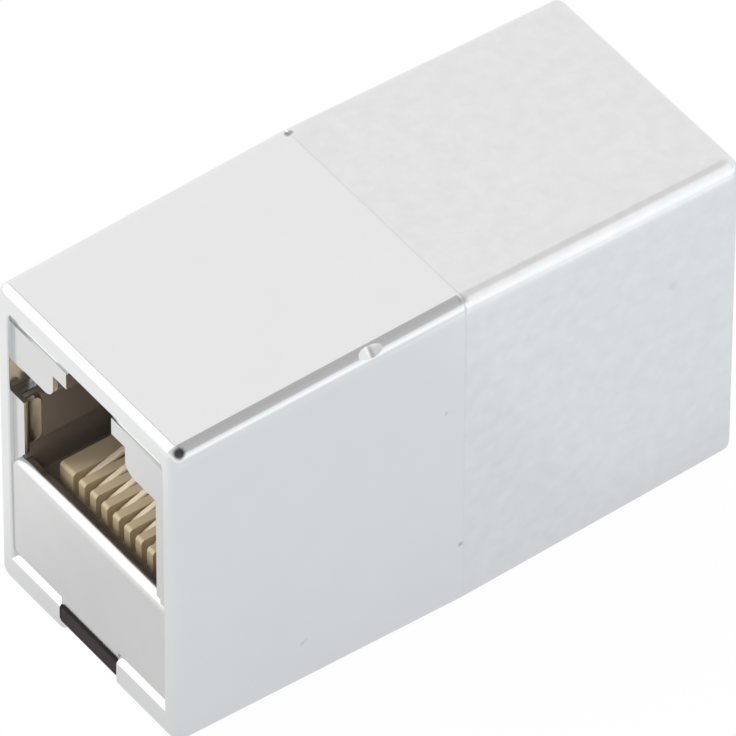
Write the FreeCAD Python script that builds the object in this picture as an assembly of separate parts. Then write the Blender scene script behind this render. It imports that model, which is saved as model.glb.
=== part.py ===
"""Shielded inline coupler for two eight-contact modular plugs.

Two plated half housings meet at a lap joint near mid length. Between them a black tray carries
a circuit board, and each end of the board carries one jack: a moulded housing with the plug
cavity, a comb that carries eight stamped spring contacts, and a folded sheet-metal shield.

Frame: X runs along the length and the front port opens towards -X, Y runs across the width,
+Z is up. The origin is at the centre of the bounding box, on its bottom. All sizes are in mm.
A jack and a half housing are drawn at the front end and turned half a turn about Z for the rear.
"""

import FreeCAD, Part
import math
import os

Vector = FreeCAD.Vector

# ------------------------------------------------------------------ half housings
body_length = 36.8        # rim plane to rim plane
seam_offset = 0.2         # the seam lies this far behind mid length
side_wall = 1.13
top_wall = 1.40
bottom_wall = 1.15
side_draft_growth = 0.16  # each half grows by these amounts from its rim to the seam
top_draft_growth = 0.48
bottom_draft_growth = 0.355
long_edge_radius = 0.75
rim_edge_radius = 0.60
mouth_edge_break = 0.12   # chamfer on the inner edge of the open mouth
mouth_corner_radius = 0.45
sill_height = 1.05        # raised lip across the bottom of the mouth, above the bottom wall
sill_depth = 1.30
sill_chamfer = 0.35
lap_length = 1.20         # tongue of the front half inside the rear half
lap_thickness = 0.55
lap_clearance = 0.04
seam_chamfer = 0.05
seat_rib_width = 1.0      # ribs that locate the tray and the jacks inside the half housings
seat_rib_spacing = 8.0
nick_from_rim = 12.6      # small dent on one long top edge of the front half
nick_radius = 2.2
nick_depth = 0.14

# ------------------------------------------------------------------ clearances
fit_gap = 0.05            # between pieces that slide together
jack_gap = 0.02           # jack shield to the side of the mouth
cut_over = 1.0            # cutters run this far past a face
seat_gap = 0.02           # between pieces that rest on each other
top_gap = 0.53            # jack shield to the top of the mouth

# ------------------------------------------------------------------ tray and board
tray_thickness = 0.75
tray_rail_height = 1.10
tray_rail_width = 0.80
tray_tongue_width = 5.0
tray_tongue_drop = 0.35   # the tongue is this much thicker than the tray, downwards
tongue_root = 0.45        # the tongue runs this far under the tray
tray_peg_radius = 0.8
tray_peg_spacing = 8.0
tray_peg_head = 0.35
tray_peg_head_radius = 1.2
tray_peg_shoulder_radius = 1.28
board_thickness = 1.60
board_setback = 0.95      # rim plane to the end of the board
board_hole_radius = 0.45
board_hole_flats = 8       # the many solder holes are drawn with flats, to keep them light

# ------------------------------------------------------------------ port and plug cavity
port_width = 11.76
plug_height = 7.05        # top of the comb to the ceiling of the cavity
floor_height = 4.95       # board to the top of the comb
latch_step_width = 6.4
latch_step_height = 1.75
latch_slot_width = 4.0
latch_slot_height = 0.97  # the slot runs out through the top of the port plate
latch_corner_radius = 0.8
cavity_depth = 12.6       # rim plane to the end stop of the plug
latch_depth = 8.4

# ------------------------------------------------------------------ jack shield
sheet = 0.30
plate_recess = 0.30       # rim plane to the upper front plate
cover_recess = 0.15       # rim plane to the lower front plate
band_step = 0.15          # the folded top stands this far behind the front plate
top_fold_rise = 0.08      # the folded top stands this far above the front plate's edge
top_fold_radius = 0.18    # front edge of the folded top
jack_depth = 15.7         # rim plane to the back of the shield
lip_depth = 0.85          # lower plate's bent top edge, along X
lip_drop = 0.10           # comb top to the top of the bent edge
lip_radius = 0.70
lip_short_end = 6.15      # at -Y the bent edge stops here, beside the margin of the port plate
margin_overlap = 0.30     # that margin runs this far down behind the lower plate
cover_gap = 0.34          # lower plate above the sill
cover_corner_radius = 0.35
relief_rise = 0.92        # cut corner of the port plate, above the bent edge at the port
relief_drop = 0.35        # and below the top of the bent edge at the side
notch_height = 2.40       # open corner above the side tab
notch_top_drop = 0.05
notch_depth = 1.60
side_tab_depth = 1.10     # tab folded back from one edge of the port
side_tab_gap = 0.08       # notch to the top of the tab
side_tab_corner = 0.40
solder_tab_width = 1.0
solder_tab_root = 0.5
solder_tab_from_rim = 7.0

# ------------------------------------------------------------------ jack housing
housing_side = 0.62       # side wall beside the plug cavity
housing_back_wall = 1.0
side_groove_height = 1.45
side_groove_depth = 0.37
groove_end_gap = 0.5      # the side grooves stop this far before the plug's end stop
notch_relief_depth = 1.9
housing_peg_radius = 0.5
housing_peg_from_rim = 10.2

# ------------------------------------------------------------------ comb and contacts
contact_count = 8
contact_pitch = 1.016
comb_setback = 1.90       # rim plane to the fronts of the comb teeth
comb_drop = 1.35          # comb top to the floor of the trench in front of it
comb_half_width = 5.0
comb_edge_radius = 0.25
slot_width = 0.48
wire_size = 0.36          # square section of a stamped contact
wire_nose_from_rim = 2.35
wire_nose_radius = 0.60
wire_arm_angle = 17.6     # degrees above the comb
wire_arm_length = 8.6
wire_top_drop = 0.42      # comb top to the contact's centre line where the arm leaves the nose
tail_row_spacing = 2.54
tail_back_gap = 0.96      # farther row of solder tails to the back of the jack
tail_bend_radius = 0.5
tail_below_board = 0.55
tail_hole_gap = 0.05

# ------------------------------------------------------------------ worked-out levels and planes
x_rim = -body_length / 2.0
seam_x = seam_offset
jack_half_width = port_width / 2.0 + housing_side + fit_gap + sheet
mouth_half_width = jack_half_width + jack_gap
end_half_width = mouth_half_width + side_wall

end_bottom = bottom_draft_growth
tray_bottom = end_bottom + bottom_wall + fit_gap
tray_top = tray_bottom + tray_thickness
sill_top = end_bottom + bottom_wall + sill_height
board_bottom = tray_top + tray_rail_height + seat_gap
board_top = board_bottom + board_thickness
jack_bottom = board_top + seat_gap
comb_top = board_top + floor_height
cavity_top = comb_top + plug_height
latch_step_top = cavity_top + latch_step_height
plate_top = latch_step_top + latch_slot_height
shield_top = plate_top + sheet + top_fold_rise
mouth_top = shield_top + top_gap
end_top = mouth_top + top_wall
lip_top = comb_top - lip_drop
trench_z = comb_top - comb_drop
wire_half = wire_size / 2.0
wire_arm_z = comb_top - wire_top_drop
wire_run_z = wire_arm_z - wire_nose_radius * (1.0 + math.cos(math.radians(wire_arm_angle)))
slot_bottom = wire_run_z - wire_half - seat_gap
cover_bottom = sill_top + cover_gap
cover_middle_bottom = tray_top + seat_gap
notch_top = cavity_top - notch_top_drop
notch_bottom = notch_top - notch_height
housing_half_width = port_width / 2.0 + housing_side
housing_peg_y = (comb_half_width + fit_gap + housing_half_width) / 2.0
jack_inside_back = jack_depth - sheet - fit_gap
tail_rows = (jack_depth - tail_back_gap - tail_row_spacing, jack_depth - tail_back_gap)


def box(x0, x1, y0, y1, z0, z1):
    """A box from its two corners."""
    return Part.makeBox(x1 - x0, y1 - y0, z1 - z0, Vector(x0, y0, z0))


def port_box(d0, d1, y0, y1, z0, z1):
    """A box at the front end, with its X places given as depths behind the rim plane."""
    return box(x_rim + d0, x_rim + d1, y0, y1, z0, z1)


def join(shapes):
    """One solid from touching or overlapping shapes, without inner seams."""
    first, rest = shapes[0], shapes[1:]
    joined = first.fuse(rest) if rest else first
    return joined.removeSplitter()


def turned_to_rear(shape):
    """The same shape at the other end: half a turn about Z."""
    turned = shape.copy()
    turned.rotate(Vector(0, 0, 0), Vector(0, 0, 1), 180)
    return turned


def flat_face(points):
    """A plane face inside a closed outline."""
    return Part.Face(Part.makePolygon(points + points[:1]))


def drafted_block(x0, x1, length, half_width, z_low, z_high):
    """A block that grows from its rim section by the draft, measured over one half's length.

    It is what its side view and its plan view have in common, so its six faces are plane.
    """
    def grown(x):
        share = (x - x_rim) / length
        return (half_width + side_draft_growth * share, z_low - bottom_draft_growth * share,
                z_high + top_draft_growth * share)
    width0, low0, high0 = grown(x0)
    width1, low1, high1 = grown(x1)
    reach = 2.0 * width1
    side_view = flat_face([Vector(x0, -reach, low0), Vector(x1, -reach, low1),
                           Vector(x1, -reach, high1), Vector(x0, -reach, high0)])
    plan_view = flat_face([Vector(x0, -width0, low1), Vector(x1, -width1, low1),
                           Vector(x1, width1, low1), Vector(x0, width0, low1)])
    side_block = side_view.extrude(Vector(0, 2.0 * reach, 0))
    plan_block = plan_view.extrude(Vector(0, 0, high1 - low1))
    return side_block.common(plan_block).Solids[0]


def long_edges_of(block, x0, x1):
    """The edges of a block that run along its length."""
    return [e for e in block.Edges
            if abs(e.Vertexes[0].X - e.Vertexes[-1].X) > 0.5 * (x1 - x0)]


def edges_where(shape, test):
    """The edges whose both ends and middle meet a test on their points."""
    found = []
    for edge in shape.Edges:
        points = [v.Point for v in edge.Vertexes] + [edge.CenterOfMass]
        if all(test(p) for p in points):
            found.append(edge)
    return found


def near(a, b, tolerance=1e-4):
    return abs(a - b) < tolerance


# ------------------------------------------------------------------ half housings
def shell_outside(length, end_x):
    """Drafted outside of a half, with rounded long edges and a rounded rim."""
    block = drafted_block(x_rim, end_x, length, end_half_width, end_bottom, end_top)
    block = block.makeFillet(long_edge_radius, long_edges_of(block, x_rim, end_x))
    rim_edges = edges_where(block, lambda p: near(p.x, x_rim))
    return block.makeFillet(rim_edge_radius, rim_edges)


def shell_inside(length, end_x):
    """The space inside a half: parallel to the outside, and open at both ends."""
    inside = drafted_block(x_rim - cut_over, end_x + cut_over, length, mouth_half_width,
                           end_bottom + bottom_wall, mouth_top)
    return inside.makeFillet(mouth_corner_radius, long_edges_of(inside, x_rim, end_x))


def seat_ribs(length):
    """Pairs of ribs on the floor and the ceiling whose flat tops hold the tray and the jack."""
    ribs = []
    inner_end = length - 2.0 * lap_length
    for side in (-1, 1):
        y0 = side * seat_rib_spacing / 2.0 - seat_rib_width / 2.0
        y1 = y0 + seat_rib_width
        ribs.append(port_box(sill_depth, inner_end, y0, y1,
                             end_bottom + bottom_wall / 2.0, tray_bottom - seat_gap))
        ribs.append(port_box(comb_setback, jack_depth - housing_back_wall, y0, y1,
                             shield_top + seat_gap, end_top - top_wall / 2.0))
    return ribs


def mouth_edges(shell):
    """The inner edges of the open mouth, which lie in the rim plane."""
    def on_mouth(p):
        return (near(p.x, x_rim) and abs(p.y) < mouth_half_width + 0.01
                and end_bottom + bottom_wall - 0.01 < p.z < mouth_top + 0.01)
    return edges_where(shell, on_mouth)


def sill():
    """Raised lip across the bottom of the mouth, with a chamfered front edge."""
    low = end_bottom + bottom_wall / 2.0
    outline = [(0, low), (0, sill_top - sill_chamfer), (sill_chamfer, sill_top),
               (sill_depth, sill_top), (sill_depth, low)]
    reach = mouth_half_width + side_wall / 4.0
    points = [Vector(x_rim + d, -reach, z) for d, z in outline]
    return flat_face(points).extrude(Vector(0, 2.0 * reach, 0))


def half_shell(length):
    """One drafted half housing at the front end: rim, open mouth, sill, tongue notch and ribs."""
    end_x = x_rim + length
    shell = shell_outside(length, end_x).cut(shell_inside(length, end_x))
    shell = shell.makeChamfer(mouth_edge_break, mouth_edges(shell))
    shell = join([shell, sill()] + seat_ribs(length))
    notch_half = tray_tongue_width / 2.0 + fit_gap
    notch = port_box(-cut_over, sill_depth + tongue_root + fit_gap, -notch_half, notch_half,
                     -cut_over, sill_top + cut_over)
    return shell.cut(notch)


def lap_block(x0, x1, inset):
    """A straight block as large as the seam section less an inset, for the lap joint."""
    half_width = end_half_width + side_draft_growth - inset
    block = box(x0, x1, -half_width, half_width, end_bottom - bottom_draft_growth + inset,
                end_top + top_draft_growth - inset)
    return block.makeFillet(mouth_corner_radius, long_edges_of(block, x0, x1))


def seam_edges(shell, x):
    """The outer edges of a half housing in the seam plane."""
    z_middle = (end_bottom + end_top) / 2.0
    reach = end_half_width + side_draft_growth

    def on_seam(p):
        across = abs(p.y) > reach - long_edge_radius - 0.01
        upright = abs(p.z - z_middle) > (end_top - end_bottom) / 2.0 - 0.01
        return near(p.x, x) and (across or upright)
    return edges_where(shell, on_seam)


def make_front_shell():
    """The front half, with the lap tongue behind the seam and the dent on its top edge."""
    length = body_length / 2.0 + seam_offset
    shell = half_shell(length)
    shell = shell.makeChamfer(seam_chamfer, seam_edges(shell, seam_x))
    tongue_inset = side_wall - lap_thickness + lap_clearance
    tongue = lap_block(seam_x - lap_length / 2.0, seam_x + lap_length, tongue_inset)
    shell = join([shell, tongue.cut(shell_inside(length, seam_x + lap_length))])
    return shell.cut(edge_nick())


def edge_nick():
    """A ball whose cap makes the dent on the long top edge at -Y."""
    share = nick_from_rim / (body_length / 2.0 + seam_offset)
    y = -(end_half_width + side_draft_growth * share)
    z = end_top + top_draft_growth * share
    edge_gap = long_edge_radius * (math.sqrt(2.0) - 1.0)
    out = nick_radius - nick_depth - edge_gap
    centre = Vector(x_rim + nick_from_rim, y - out / math.sqrt(2.0), z + out / math.sqrt(2.0))
    return Part.makeSphere(nick_radius, centre)


def make_rear_shell():
    """The rear half, drawn at the front end with its lap recess and then turned round."""
    length = body_length / 2.0 - seam_offset
    shell = half_shell(length)
    end_x = x_rim + length
    shell = shell.makeChamfer(seam_chamfer, seam_edges(shell, end_x))
    recess_inset = side_wall - lap_thickness
    recess = lap_block(end_x - lap_length - lap_clearance, end_x + cut_over, recess_inset)
    return turned_to_rear(shell.cut(recess))


# ------------------------------------------------------------------ tray and board
def make_board_tray():
    """A flat tray with two rails, two pegs and a tongue at each end that fills the rim notch."""
    half_length = body_length / 2.0 - sill_depth - fit_gap
    half_width = mouth_half_width - fit_gap
    base = box(-half_length, half_length, -half_width, half_width, tray_bottom, tray_top)
    under = [e for e in base.Edges
             if near(e.CenterOfMass.z, tray_bottom) and near(abs(e.CenterOfMass.y), half_width)]
    parts = [base.makeFillet(mouth_corner_radius, under)]
    rail_outer = jack_half_width - sheet - fit_gap
    rail_top = board_bottom - seat_gap
    for side in (-1, 1):
        y0, y1 = sorted((side * rail_outer, side * (rail_outer - tray_rail_width)))
        parts.append(box(-half_length, half_length, y0, y1, tray_top, rail_top))
        parts += tray_peg(side * tray_peg_spacing / 2.0, rail_top)
    tongue_half = tray_tongue_width / 2.0
    tongue = port_box(0, sill_depth + tongue_root, -tongue_half, tongue_half,
                      tray_bottom - tray_tongue_drop, tray_top)
    parts += [tongue, turned_to_rear(tongue)]
    return join(parts)


def tray_peg(y, shoulder_top):
    """A peg through the board: shoulder under it, shank in its hole and a flattened head on it."""
    head_bottom = board_top + seat_gap
    shoulder = Part.makeCylinder(tray_peg_shoulder_radius, shoulder_top - tray_bottom,
                                 Vector(0, y, tray_bottom))
    shank = Part.makeCylinder(tray_peg_radius, head_bottom - tray_bottom, Vector(0, y, tray_bottom))
    head = Part.makeCylinder(tray_peg_head_radius, tray_peg_head, Vector(0, y, head_bottom))
    return [shoulder, shank, head]


def contact_places():
    """Y place and tail depth of each contact: the tails stand in two staggered rows."""
    places = []
    for i in range(contact_count):
        y = (i - (contact_count - 1) / 2.0) * contact_pitch
        places.append((y, tail_rows[i % 2]))
    return places


def flat_sided_pin(x, y, z, height):
    """An upright cutter for a solder hole: a regular outline with a few flats."""
    turn = 2.0 * math.pi / board_hole_flats
    points = [Vector(x + board_hole_radius * math.cos((i + 0.5) * turn),
                     y + board_hole_radius * math.sin((i + 0.5) * turn), z)
              for i in range(board_hole_flats)]
    return flat_face(points).extrude(Vector(0, 0, height))


def make_circuit_board():
    """The board, with holes for the solder tails and pegs and open slots for the shield tabs."""
    half_length = body_length / 2.0 - board_setback
    half_width = jack_half_width - fit_gap
    board = box(-half_length, half_length, -half_width, half_width, board_bottom, board_top)
    through = board_thickness + 2.0 * cut_over
    low = board_bottom - cut_over
    cutters = []
    for y, depth in contact_places():
        cutters.append(flat_sided_pin(x_rim + depth, y, low, through))
    for side in (-1, 1):
        peg_place = Vector(x_rim + housing_peg_from_rim, side * housing_peg_y, low)
        cutters.append(Part.makeCylinder(housing_peg_radius + fit_gap, through, peg_place))
        y0, y1 = sorted((side * (jack_half_width - sheet - fit_gap),
                         side * (jack_half_width + cut_over)))
        cutters.append(port_box(solder_tab_from_rim - fit_gap,
                                solder_tab_from_rim + solder_tab_width + fit_gap,
                                y0, y1, low, board_top + cut_over))
    cutters += [turned_to_rear(c) for c in cutters]
    for side in (-1, 1):
        cutters.append(Part.makeCylinder(tray_peg_radius + fit_gap, through,
                                         Vector(0, side * tray_peg_spacing / 2.0, low)))
    return board.cut(cutters)


# ------------------------------------------------------------------ jack
def port_profile(x0, x1, z_low, slot_top):
    """The stepped plug opening with its rounded latch corners, as a cutter along X."""
    half = port_width / 2.0
    step = latch_step_width / 2.0
    slot = latch_slot_width / 2.0
    steps = [box(x0, x1, -half, half, z_low, cavity_top),
             box(x0, x1, -step, step, z_low, latch_step_top),
             box(x0, x1, -slot, slot, z_low, slot_top)]
    profile = join(steps)
    inner_corners = [e for e in long_edges_of(profile, x0, x1)
                     if near(abs(e.CenterOfMass.y), step) and near(e.CenterOfMass.z, cavity_top)]
    return profile.makeFillet(latch_corner_radius, inner_corners)


def make_shield():
    """Folded shield: top, sides and back, the port plate, the lower plate and the tabs."""
    w = jack_half_width
    body_front = plate_recess + band_step
    body = port_box(body_front, jack_depth, -w, w, jack_bottom, shield_top)
    hollow = port_box(-cut_over, jack_depth - sheet, -w + sheet, w - sheet,
                      jack_bottom - cut_over, shield_top - sheet)
    folded = body.cut(hollow)
    top_front = edges_where(folded, lambda p: near(p.x, x_rim + body_front)
                            and near(p.z, shield_top))
    folded = folded.makeFillet(top_fold_radius, top_front)
    plate = port_box(plate_recess, plate_recess + sheet, -w, w, lip_top - relief_drop, plate_top)
    margin = port_box(plate_recess, plate_recess + sheet, -w, -lip_short_end - fit_gap,
                      lip_top - lip_radius - margin_overlap, lip_top)
    cutter = port_profile(x_rim, x_rim + plate_recess + 2.0 * sheet,
                          lip_top - relief_drop - cut_over, plate_top + cut_over)
    notch = port_box(0, notch_depth, port_width / 2.0 - sheet, w + cut_over,
                     notch_bottom, notch_top)
    lip_room = port_box(plate_recess, plate_recess + sheet, -lip_short_end - fit_gap, 0,
                        lip_top - relief_drop - cut_over, lip_top + fit_gap)
    front = join([folded, plate]).cut([cutter, notch, lip_room, relief_corner()])
    pieces = [front, margin, lower_plate(), side_tab()]
    for side in (-1, 1):
        y0, y1 = sorted((side * w, side * (w - sheet)))
        pieces.append(port_box(solder_tab_from_rim, solder_tab_from_rim + solder_tab_width,
                               y0, y1, board_bottom, jack_bottom + solder_tab_root))
    return join(pieces)


def relief_corner():
    """Wedge cut from the +Y margin of the port plate, beside the end of the bent edge."""
    edge = port_width / 2.0
    outer = jack_half_width + sheet
    low = lip_top - relief_drop - cut_over
    outline = [(edge - sheet, low), (edge - sheet, lip_top + relief_rise),
               (edge, lip_top + relief_rise), (jack_half_width, lip_top - relief_drop),
               (outer, lip_top - relief_drop), (outer, low)]
    points = [Vector(x_rim, y, z) for y, z in outline]
    return flat_face(points).extrude(Vector(plate_recess + sheet, 0, 0))


def lower_plate():
    """Plate below the port: it reaches the sill, and its top edge is bent inwards.

    The bent edge runs to the +Y side, and stops short of the -Y side.
    """
    w = jack_half_width
    front, back = cover_recess, cover_recess + lip_depth
    outside = port_box(front, back, -w, w, cover_bottom, lip_top)
    bend = edges_where(outside, lambda p: near(p.x, x_rim + front) and near(p.z, lip_top))
    outside = outside.makeFillet(lip_radius, bend)
    inside = port_box(front + sheet, back + cut_over, -w - cut_over, w + cut_over,
                      cover_bottom - cut_over, lip_top - sheet)
    bend = edges_where(inside, lambda p: near(p.x, x_rim + front + sheet)
                       and near(p.z, lip_top - sheet))
    inside = inside.makeFillet(lip_radius - sheet, bend)
    plate = outside.cut(inside)
    corners = [e for e in plate.Edges if near(abs(e.CenterOfMass.y), w)
               and near(e.CenterOfMass.z, cover_bottom) and near(e.Length, sheet)]
    plate = plate.makeFillet(cover_corner_radius, corners)
    middle_half = tray_tongue_width / 2.0 + fit_gap
    middle = port_box(front, front + sheet, -middle_half, middle_half,
                      cover_middle_bottom, cover_bottom)
    beside_margin = port_box(0, back + cut_over, -w - cut_over, -lip_short_end,
                             lip_top - lip_radius, lip_top + cut_over)
    return join([plate, middle]).cut(beside_margin)


def side_tab():
    """Tab folded back from one edge of the port, with rounded inner corners."""
    edge = port_width / 2.0
    tab = port_box(plate_recess, plate_recess + side_tab_depth, edge, edge + sheet,
                   comb_top + side_groove_height, notch_bottom - side_tab_gap)
    corners = [e for e in tab.Edges if near(e.CenterOfMass.x, x_rim + plate_recess + side_tab_depth)
               and near(e.Length, sheet)]
    return tab.makeFillet(side_tab_corner, corners)


def make_housing():
    """Moulded jack housing: plug cavity, latch way, side grooves and the pocket for the comb."""
    front = plate_recess + sheet + seat_gap
    upper = port_box(front, cavity_depth + housing_back_wall, -housing_half_width,
                     housing_half_width, jack_bottom, shield_top - sheet - fit_gap)
    lower = port_box(front, jack_inside_back, -housing_half_width, housing_half_width,
                     jack_bottom, comb_top)
    pegs = [Part.makeCylinder(housing_peg_radius, board_thickness + seat_gap,
                              Vector(x_rim + housing_peg_from_rim, side * housing_peg_y,
                                     board_bottom))
            for side in (-1, 1)]
    return join([join([upper, lower]).cut(housing_cutters())] + pegs)


def housing_cutters():
    """Everything that is cut from the block of the jack housing."""
    half = port_width / 2.0
    beyond = housing_half_width + cut_over
    cutters = [port_profile(x_rim, x_rim + latch_depth, comb_top, shield_top + cut_over),
               port_box(0, cavity_depth, -half, half, comb_top, cavity_top),
               port_box(0, comb_setback, -half, half, trench_z, cavity_top),
               port_box(comb_setback - fit_gap, jack_depth, -comb_half_width - fit_gap,
                        comb_half_width + fit_gap, jack_bottom - cut_over, comb_top + seat_gap)]
    for side in (-1, 1):
        y0, y1 = sorted((side * comb_half_width, side * (half + side_groove_depth)))
        cutters.append(port_box(0, cavity_depth - groove_end_gap, y0, y1, trench_z,
                                comb_top + side_groove_height))
    cutters.append(port_box(0, cover_recess + lip_depth + fit_gap, -beyond, beyond,
                            lip_top - lip_radius - fit_gap, lip_top + fit_gap))
    cutters.append(port_box(0, plate_recess + side_tab_depth + fit_gap, half - fit_gap,
                            half + sheet + fit_gap, comb_top + side_groove_height - fit_gap,
                            notch_top))
    cutters.append(port_box(0, notch_relief_depth, half - fit_gap, beyond, notch_bottom, notch_top))
    return cutters


def make_comb():
    """Comb that carries the contacts: rounded front edge, a slot and a tail hole for each."""
    comb = port_box(comb_setback, jack_inside_back, -comb_half_width, comb_half_width,
                    jack_bottom, comb_top)
    front = edges_where(comb, lambda p: near(p.x, x_rim + comb_setback) and near(p.z, comb_top))
    comb = comb.makeFillet(comb_edge_radius, front)
    cutters = []
    hole = wire_half + tail_hole_gap
    for y, depth in contact_places():
        cutters.append(port_box(0, depth + hole, y - slot_width / 2.0, y + slot_width / 2.0,
                                slot_bottom, comb_top + cut_over))
        cutters.append(port_box(depth - hole, depth + hole, y - hole, y + hole,
                                jack_bottom - cut_over, comb_top))
        bend = tail_bend_radius + wire_half
        cutters.append(port_box(depth - bend, depth + hole, y - hole, y + hole,
                                slot_bottom - bend, comb_top))
    return comb.cut(cutters)


def make_contact(y, tail_depth):
    """Stamped square contact: solder tail, run in its slot, nose and the rising spring arm."""
    angle = math.radians(wire_arm_angle)
    r = wire_nose_radius
    centre_x = x_rim + wire_nose_from_rim + wire_half + r
    centre_z = wire_run_z + r
    run_start = Vector(centre_x, y, wire_run_z)
    nose_tip = Vector(centre_x - r, y, centre_z)
    arm_start = Vector(centre_x - r * math.sin(angle), y, centre_z + r * math.cos(angle))
    arm_end = arm_start + Vector(math.cos(angle), 0, math.sin(angle)) * wire_arm_length
    tail_x = x_rim + tail_depth
    b = tail_bend_radius
    bend_start = Vector(tail_x - b, y, wire_run_z)
    bend_middle = Vector(tail_x - b + b * math.sin(math.pi / 4), y,
                         wire_run_z - b + b * math.cos(math.pi / 4))
    bend_end = Vector(tail_x, y, wire_run_z - b)
    tail_end = Vector(tail_x, y, board_bottom - tail_below_board)
    path = Part.Wire([
        Part.LineSegment(tail_end, bend_end).toShape(),
        Part.Arc(bend_end, bend_middle, bend_start).toShape(),
        Part.LineSegment(bend_start, run_start).toShape(),
        Part.Arc(run_start, nose_tip, arm_start).toShape(),
        Part.LineSegment(arm_start, arm_end).toShape()])
    h = wire_half
    corners = [tail_end + Vector(dx, dy, 0) for dx, dy in ((-h, -h), (h, -h), (h, h), (-h, h))]
    return path.makePipeShell([Part.makePolygon(corners + corners[:1])], True, True)


def build_all():
    """Every node by name, in millimetres."""
    housing = make_housing()
    shield = make_shield()
    comb = make_comb()
    nodes = {
        "front_shell": make_front_shell(),
        "rear_shell": make_rear_shell(),
        "board_tray": make_board_tray(),
        "circuit_board": make_circuit_board(),
        "front_jack_shield": shield,
        "rear_jack_shield": turned_to_rear(shield),
        "front_jack_insulator": housing,
        "rear_jack_insulator": turned_to_rear(housing),
        "front_contact_carrier": comb,
        "rear_contact_carrier": turned_to_rear(comb),
    }
    for number, (y, depth) in enumerate(contact_places(), start=1):
        contact = make_contact(y, depth)
        nodes["front_contact_%d" % number] = contact
        nodes["rear_contact_%d" % number] = turned_to_rear(contact)
    return nodes


os.makedirs("parts", exist_ok=True)
for name, shape in build_all().items():
    solids = len(shape.Solids)
    print("%-24s solids %d valid %s volume %.2f" % (name, solids, shape.isValid(), shape.Volume))
    shape.exportStep("parts/%s.step" % name)
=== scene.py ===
"""Studio scene of a shielded inline coupler: plated halves, sheet-metal jacks, gold contacts.

Lengths are written in millimetres and turned into metres by MM, apart from the floor's size and
drop and the camera's aim and distance, which are in metres.
D is a depth behind a rim plane; the rear end is the front end turned half a turn about Z.
"""
import bmesh, bpy, math
import numpy as np
from mathutils import Matrix, Vector


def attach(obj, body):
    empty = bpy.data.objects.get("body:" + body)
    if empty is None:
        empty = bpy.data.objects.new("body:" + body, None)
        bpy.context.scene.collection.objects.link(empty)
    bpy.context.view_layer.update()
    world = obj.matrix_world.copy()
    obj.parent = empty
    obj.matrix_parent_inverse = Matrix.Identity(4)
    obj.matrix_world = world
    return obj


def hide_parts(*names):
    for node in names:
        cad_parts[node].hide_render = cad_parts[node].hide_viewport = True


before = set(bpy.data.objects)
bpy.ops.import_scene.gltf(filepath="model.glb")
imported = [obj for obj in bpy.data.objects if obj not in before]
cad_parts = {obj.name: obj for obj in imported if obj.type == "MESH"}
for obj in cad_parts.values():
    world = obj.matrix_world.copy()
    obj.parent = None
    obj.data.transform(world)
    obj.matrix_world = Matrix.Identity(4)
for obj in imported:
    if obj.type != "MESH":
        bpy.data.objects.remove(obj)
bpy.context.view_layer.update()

MM = 0.001
scene = bpy.context.scene
scene.view_settings.view_transform = "Standard"

# ------------------------------------------------------------------ sizes of the half housings
HALF_LENGTH = 18.4
SEAM_OFFSET = 0.2  # the seam lies this far behind the middle
END_HALF_WIDTH, END_BOTTOM, END_TOP = 8.0, 0.355, 22.055
MOUTH_HALF_WIDTH, MOUTH_TOP, FLOOR = 6.854, 20.655, 1.505
SIDE_GROWTH, TOP_GROWTH, BOTTOM_GROWTH = 0.159, 0.478, 0.3535  # from an end to the seam
LONG_EDGE, RIM_EDGE, MOUTH_EDGE, MOUTH_CORNER = 0.75, 0.60, 0.12, 0.45  # radii
LEAST_EDGE = 0.12
TAIL, TAIL_SLOPE = 0.8, 0.16  # how the long top edges fade out on the sides
SILL_TOP, SILL_SLOPE, SILL_DEPTH = 2.555, 0.35, 1.30
SILL_LOW_RADIUS, SILL_TOP_RADIUS, SILL_FOOT = 0.2, 0.25, 0.083
LOW_ARC_END, TOP_ARC_START, TOP_ARC_CENTRE = 0.0586, 0.2768, 0.4536  # places along D
INNER_RINGS = (0.0, 0.004, 0.0152, 0.034, LOW_ARC_END, 0.085, 0.12, 0.277, 0.305, 0.345, 0.395,
               TOP_ARC_CENTRE, SILL_DEPTH)
NOTCH_HALF, NOTCH_FOOT, NOTCH_DEPTH = 2.55, 2.0, 1.80
FRONT_SEAM_BREAK, REAR_SEAM_BREAK, SEAM_GROOVE, SEAM_HOLD = 0.016, 0.012, 0.060, 0.05
LAP, TONGUE_INSET, RECESS_INSET, LAP_GAP = 1.20, 0.62, 0.58, 0.04
DENT_FROM_RIM, DENT_RADIUS, DENT_DEPTH, DENT_REACH = 12.6, 2.2, 0.14, 0.96
RIB_PLACE, RIB_HALF = 4.0, 0.5
LOW_RIB_STOP, LOW_RIB_HEIGHTS = 2.4, (0.93, 1.535)  # they end this far in front of the seam
HIGH_RIB_ENDS, HIGH_RIB_HEIGHTS = (1.90, 14.7), (20.145, 21.355)


# ------------------------------------------------------------------ meshes
GRID_MERGE, COPY_MERGE = 0.0005, 0.0004
SAME_PLACE = 0.01  # a corner this near to a place counts as there
CRISP_DEGREES, WIRE_CRISP_DEGREES, BEVEL_DEGREES, BEVEL_SEGMENTS = 40.0, 50.0, 32.0, 2
WIDENED_DEPTH = 0.9  # only corners within this depth of an end are widened


def new_piece(name, points, faces, cad_nodes):
    """A mesh object from points in mm and faces, riding on the part and standing for CAD nodes."""
    mesh = bpy.data.meshes.new(name)
    mesh.from_pydata((np.asarray(points) * MM).tolist(), [], faces)
    piece = bpy.data.objects.new(name, mesh)
    scene.collection.objects.link(piece)
    tidy_mesh(mesh)
    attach(piece, "root")
    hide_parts(*cad_nodes)
    return piece


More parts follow.
